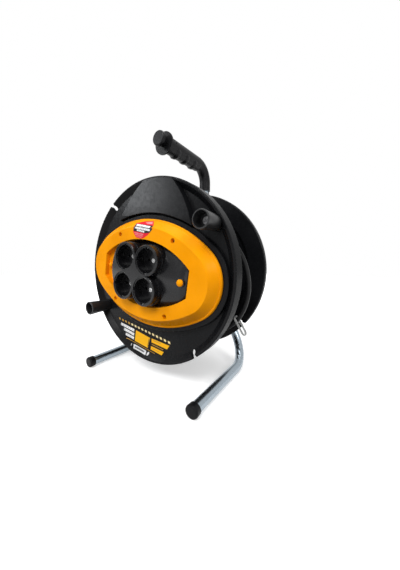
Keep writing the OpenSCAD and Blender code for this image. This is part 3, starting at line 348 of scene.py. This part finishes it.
# ---------------------------------------------------------------- cord
TAIL = [
    (96, 114, -16), (86, 114.5, -16), (76, 117.5, -16), (66, 122, -18.5), (56, 127.5, -26),
    (46, 132.5, -37), (36, 137.5, -49), (26, 142, -61), (16, 146, -72), (6, 148, -83),
    (-4, 149, -94), (-14, 149, -104), (-23, 149, -112), (-32, 149, -119.5), (-41, 147.5, -124.5),
    (-50, 145, -126.5), (-60, 142, -126.5), (-70, 138, -125), (-80, 134, -121.5),
    (-90, 130, -117), (-100, 127, -112), (-110, 125, -106), (-120, 124, -99.5), (-130, 125, -93),
    (-139, 127, -88), (-147, 130, -84), (-155, 133, -81), (-162, 136, -80)]
WIND_A, WIND_R, WIND_W, PITCH, TURNS = 96, 114, -16, 8.7, 12.5
TAIL_R, WOUND_R = 0.0041, 0.00415   # cord radius, m
TURN_STEPS = 120                    # points to a turn
FADE = 0.4                          # turns over which the unevenness fades out at each end

tail_pts = spline([polar(*p) for p in TAIL], 0.003)
tail = sweep("tail_cord", tail_pts, TAIL_R, 20, MAT["cable_rubber"])
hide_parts("cable_tail")
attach(tail, "drum")

wind_pts = []
total = int(TURNS * TURN_STEPS)
for i in range(total + 1):
    turn = (total - i) / TURN_STEPS
    fade = min(1, turn / FADE, (TURNS - turn) / FADE)
    wob = fade * 0.12 * math.sin(turn * 2 * math.pi * 1.37 + 0.6)
    wind_pts.append(polar(WIND_A + turn * 360, WIND_R + fade * 0.1 * math.sin(turn * 9.1),
                          WIND_W - turn * PITCH + wob))
winding = sweep("wound_cord", wind_pts, WOUND_R, 14, MAT["cable_rubber"])
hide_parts("cable_winding")
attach(winding, "drum")


# ---------------------------------------------------------------- stickers
PRINT = {
    "print_black": flat_print("print_black", (0.012, 0.012, 0.013), 0.35),
    "print_white": flat_print("print_white", (1.0, 1.0, 1.0), 0.4),
    "print_grey": flat_print("print_grey", (0.62, 0.63, 0.64), 0.45),
    "print_red": flat_print("print_red", (0.8, 0.012, 0.03), 0.35),
    "print_pink": flat_print("print_pink", (0.8, 0.3, 0.33), 0.4),
    "print_yellow": flat_print("print_yellow", (1.0, 0.5, 0.01), 0.45),
    "print_cream": flat_print("print_cream", (1.0, 0.82, 0.42), 0.45),
    "print_gold": flat_print("print_gold", (0.62, 0.33, 0.05), 0.45),
}


def cover_w(u, v):
    """Height of the oval cover over the rim plane."""
    a, b = abs(u), abs(v)
    g = math.hypot(a, b + 104) - 195 if a / 3 < (b + 104) / 4 else math.hypot(a - 78, b) - 65
    if g < -14.4:
        return 18.0
    if g < -12:
        return 18 - (g + 14.4)
    return 15.6 - (g + 12) * 10.6 / 9


def dish_w(u, v):
    """Height of the front flange's dish and its rise to the rim."""
    r = math.hypot(u, v)
    return -8.0 if r < 149 else min(-0.6, -8 + (r - 149) * 7.4 / 8)


def decal(name, pts, mat, surface, lift):
    """A printed patch: a polygon in the drum's frame, draped on a surface."""
    me = bpy.data.meshes.new(name)
    bm = bmesh.new()
    bm.faces.new([bm.verts.new((u, v, 0)) for u, v in pts])
    bmesh.ops.triangulate(bm, faces=bm.faces[:])
    for _ in range(4):
        long = [e for e in bm.edges if e.calc_length() > 2.5]
        if not long:
            break
        bmesh.ops.subdivide_edges(bm, edges=long, cuts=1)
        bmesh.ops.triangulate(bm, faces=bm.faces[:])
    for v in bm.verts:
        v.co = drum(v.co.x, v.co.y, surface(v.co.x, v.co.y) + lift)
    bmesh.ops.recalc_face_normals(bm, faces=bm.faces[:])
    bm.to_mesh(me)
    bm.free()
    for f in me.polygons:
        f.use_smooth = True
    me.materials.append(PRINT[mat])
    o = bpy.data.objects.new(name, me)
    scene.collection.objects.link(o)
    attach(o, "drum")
    return o


def bar(name, a, b, h, mat, surface, lift, slant=0.0):
    """A bar from a to b, h high, its right end cut at a slant."""
    a, b = Vector(a), Vector(b)
    d = (b - a).normalized()
    n = Vector((-d.y, d.x)) * h / 2
    return decal(name, [a - n, b - n - d * slant, b + n, a + n], mat, surface, lift)


def lettering(name, a, b, h, mat, ground, surface, lift, marks):
    """A bar broken by short slanted gaps, so that it reads as a line of print."""
    bar(name, a, b, h, mat, surface, lift)
    a, b = Vector(a), Vector(b)
    d = (b - a).normalized()
    n = Vector((-d.y, d.x))
    for k in range(marks):
        c = a + (b - a) * ((k + 0.35 + rng.uniform(0, 0.45)) / marks)
        lean, low, high = rng.uniform(-0.5, 0.5), rng.uniform(-0.5, -0.15), rng.uniform(0.1, 0.5)
        bar("%s_gap_%d" % (name, k), c + n * h * low, c + n * h * high + d * lean,
            rng.uniform(0.5, 0.9), ground, surface, lift + 0.04)


# Shield on the cover: red, with a black field and plain bars
decal("shield_base", [(-29.6, 81.8), (-10.7, 86.2), (7, 87.5), (14.7, 80.3), (16.9, 73.3),
                      (8.3, 63.7), (-0.6, 58), (-7, 56.2), (-19.1, 57.9), (-26.4, 66.1),
                      (-26.8, 76.4)], "print_red", cover_w, 0.1)
decal("shield_field", [(-27.6, 80.9), (6.7, 79.6), (15, 79.1), (16.6, 73.3), (12.4, 68.1), (3.2, 66),
                       (-26.2, 68), (-26.4, 76.4)], "print_black", cover_w, 0.16)
for i, (a, b, h) in enumerate((((-24.3, 78.9), (11.2, 76.4), 3.2), ((-23, 74.2), (11.9, 71.6), 3.2),
                               ((-18, 70.2), (-0.3, 68.2), 2.8))):
    lettering("shield_bar_%d" % i, a, b, h, "print_white", "print_black", cover_w, 0.22, 9)
decal("shield_top", [(-8, 84.2), (6.4, 86), (10.6, 81.8), (-0.5, 81.8)], "print_pink", cover_w, 0.16)
for i, (a, b) in enumerate((((-23.5, 65.3), (-1.4, 63.6)), ((-21.4, 62.6), (-2.7, 61)),
                            ((-19.3, 59.9), (-5.6, 58.6)))):
    lettering("shield_line_%d" % i, a, b, 1.4, "print_pink", "print_red", cover_w, 0.16, 8)

# Label on the lower flange: dashes, lines of print, a yellow field and two yellow bars
for i in range(15):
    u0, v0 = -77 + i * 9.3, -109.7 - i * 0.17
    decal("label_dash_%d" % i, [(u0, v0 + 1.9), (u0 + 5, v0 + 1.8), (u0 + 6.6, v0 - 1.9),
                                (u0 + 1.6, v0 - 1.8)],
          "print_cream" if i > 3 else "print_gold", dish_w, 0.1)
for i, (a, b, h) in enumerate((((-69, -119), (-29.6, -120.2), 5.4),
                               ((-59, -126.9), (-29, -128.2), 5.4),
                               ((-52.5, -135.2), (-28.4, -135.8), 5.2))):
    lettering("label_line_%d" % i, a, b, h, "print_white", "print_black", dish_w, 0.1, 8)
decal("label_field", [(-24.8, -118), (12.9, -120.1), (9.4, -141), (-25.5, -140.1)], "print_yellow",
      dish_w, 0.1)
decal("label_bar_a", [(16.7, -119.6), (58, -117.7), (54.1, -126), (17.2, -127)], "print_yellow",
      dish_w, 0.1)
decal("label_bar_b", [(16.8, -134.2), (47.6, -133.6), (43.4, -141.6), (17, -140.9)], "print_yellow",
      dish_w, 0.1)
lettering("label_ink_a", (20, -121.6), (40, -121), 2, "print_gold", "print_yellow", dish_w, 0.14, 6)
lettering("label_ink_b", (20, -137.6), (38, -137.6), 1.6, "print_gold", "print_yellow", dish_w, 0.14, 6)
lettering("label_ink_c", (10.9, -121.6), (9.2, -138.4), 1.7, "print_black", "print_yellow", dish_w,
          0.14, 6)
lettering("label_ink_d", (18, -130.4), (46, -130.2), 1.3, "print_gold", "print_black", dish_w, 0.1, 8)
bar("label_rule", (-48.6, -142.4), (27.7, -144.9), 0.9, "print_gold", dish_w, 0.1)
decal("label_foot", [(-27.2, -146.9), (6.1, -147.8), (9.4, -154), (-22.6, -152.8)], "print_grey",
      dish_w, 0.1)
lettering("label_foot_ink", (-22, -150), (3, -150.9), 2, "print_black", "print_grey", dish_w, 0.14, 9)
decal("label_dot", [(12.9 + 2.4 * math.cos(k), -150.4 + 2.9 * math.sin(k))
                    for k in [i * math.pi / 6 for i in range(12)]], "print_grey", dish_w, 0.1)
bar("label_mark", (-31.8, -147), (-30.6, -150.6), 1.3, "print_grey", dish_w, 0.1)

# ---------------------------------------------------------------- light and ground
def area(name, loc, target, size, power, color=(1, 1, 1)):
    d = bpy.data.lights.new(name, "AREA")
    d.energy = power
    d.color = color
    d.size = size
    o = bpy.data.objects.new(name, d)
    scene.collection.objects.link(o)
    o.location = loc
    o.rotation_euler = (Vector(target) - Vector(loc)).to_track_quat("-Z", "Y").to_euler()


area("key", (0.35, -1.7, 1.9), (0, 0, 0.2), 0.9, 34)
area("side", (1.7, -0.5, 1.3), (0, 0, 0.25), 0.6, 9)
area("top", (0, 0.3, 1.8), (0, 0, 0.2), 1.0, 9.5)
area("sheen", (-1.2, -1.15, 0.95), (-0.03, -0.08, 0.31), 0.45, 10.5, (0.94, 0.97, 1))
area("low", (1.0, -1.5, 0.15), (0, 0, 0.15), 0.6, 2)


def seen(n, l):
    """1 where a camera, glossy or transmission ray meets the backdrop, else 0."""
    lp = n.new("ShaderNodeLightPath")
    out = lp.outputs["Is Camera Ray"]
    for ray in ("Is Glossy Ray", "Is Transmission Ray"):
        add = n.new("ShaderNodeMath")
        add.use_clamp = True
        l.new(out, add.inputs[0])
        l.new(lp.outputs[ray], add.inputs[1])
        out = add.outputs["Value"]
    return out


def white_world():
    """White where it is seen; a soft sky, dim at the horizon, where it lights the object."""
    world = bpy.data.worlds.new("world")
    scene.world = world
    world.use_nodes = True
    n, l = world.node_tree.nodes, world.node_tree.links
    light = n["Background"]
    way = n.new("ShaderNodeSeparateXYZ")
    l.new(n.new("ShaderNodeTexCoord").outputs["Generated"], way.inputs["Vector"])
    light.inputs["Color"].default_value = (1, 1, 1, 1)
    l.new(spread(n, l, way.outputs["Z"], 0.03, 0.7, 0.1, 0.6), light.inputs["Strength"])
    white = n.new("ShaderNodeBackground")
    white.inputs["Color"].default_value = (1, 1, 1, 1)
    white.inputs["Strength"].default_value = 1.0
    mix = n.new("ShaderNodeMixShader")
    l.new(seen(n, l), mix.inputs[0])
    l.new(light.outputs[0], mix.inputs[1])
    l.new(white.outputs[0], mix.inputs[2])
    l.new(mix.outputs[0], n["World Output"].inputs["Surface"])


def white_floor():
    """A floor that keeps the object's shadow and turns plain white away from it."""
    m, n, l = new_material("floor_white")
    p = shader(m)
    p.inputs["Roughness"].default_value = 0.7
    p.inputs["Specular IOR Level"].default_value = 0.1
    tone = n.new("ShaderNodeMix")
    tone.data_type = "RGBA"
    tone.inputs["A"].default_value = (0.22, 0.22, 0.22, 1)
    tone.inputs["B"].default_value = (0.8, 0.8, 0.8, 1)
    is_seen = seen(n, l)
    l.new(is_seen, tone.inputs["Factor"])
    l.new(tone.outputs["Result"], p.inputs["Base Color"])
    far = n.new("ShaderNodeVectorMath")
    far.operation = "LENGTH"
    l.new(n.new("ShaderNodeTexCoord").outputs["Object"], far.inputs[0])
    glow = n.new("ShaderNodeMath")
    glow.operation = "MULTIPLY"
    l.new(spread(n, l, far.outputs["Value"], 0.4, 1.0, 0.3, 1.0), glow.inputs[0])
    l.new(is_seen, glow.inputs[1])
    p.inputs["Emission Color"].default_value = (1, 1, 1, 1)
    l.new(glow.outputs["Value"], p.inputs["Emission Strength"])
    corners = [(-3, -3, 0), (3, -3, 0), (3, 3, 0), (-3, 3, 0)]
    add_mesh("floor", corners, [(0, 1, 2, 3)], m, False)


white_world()
white_floor()
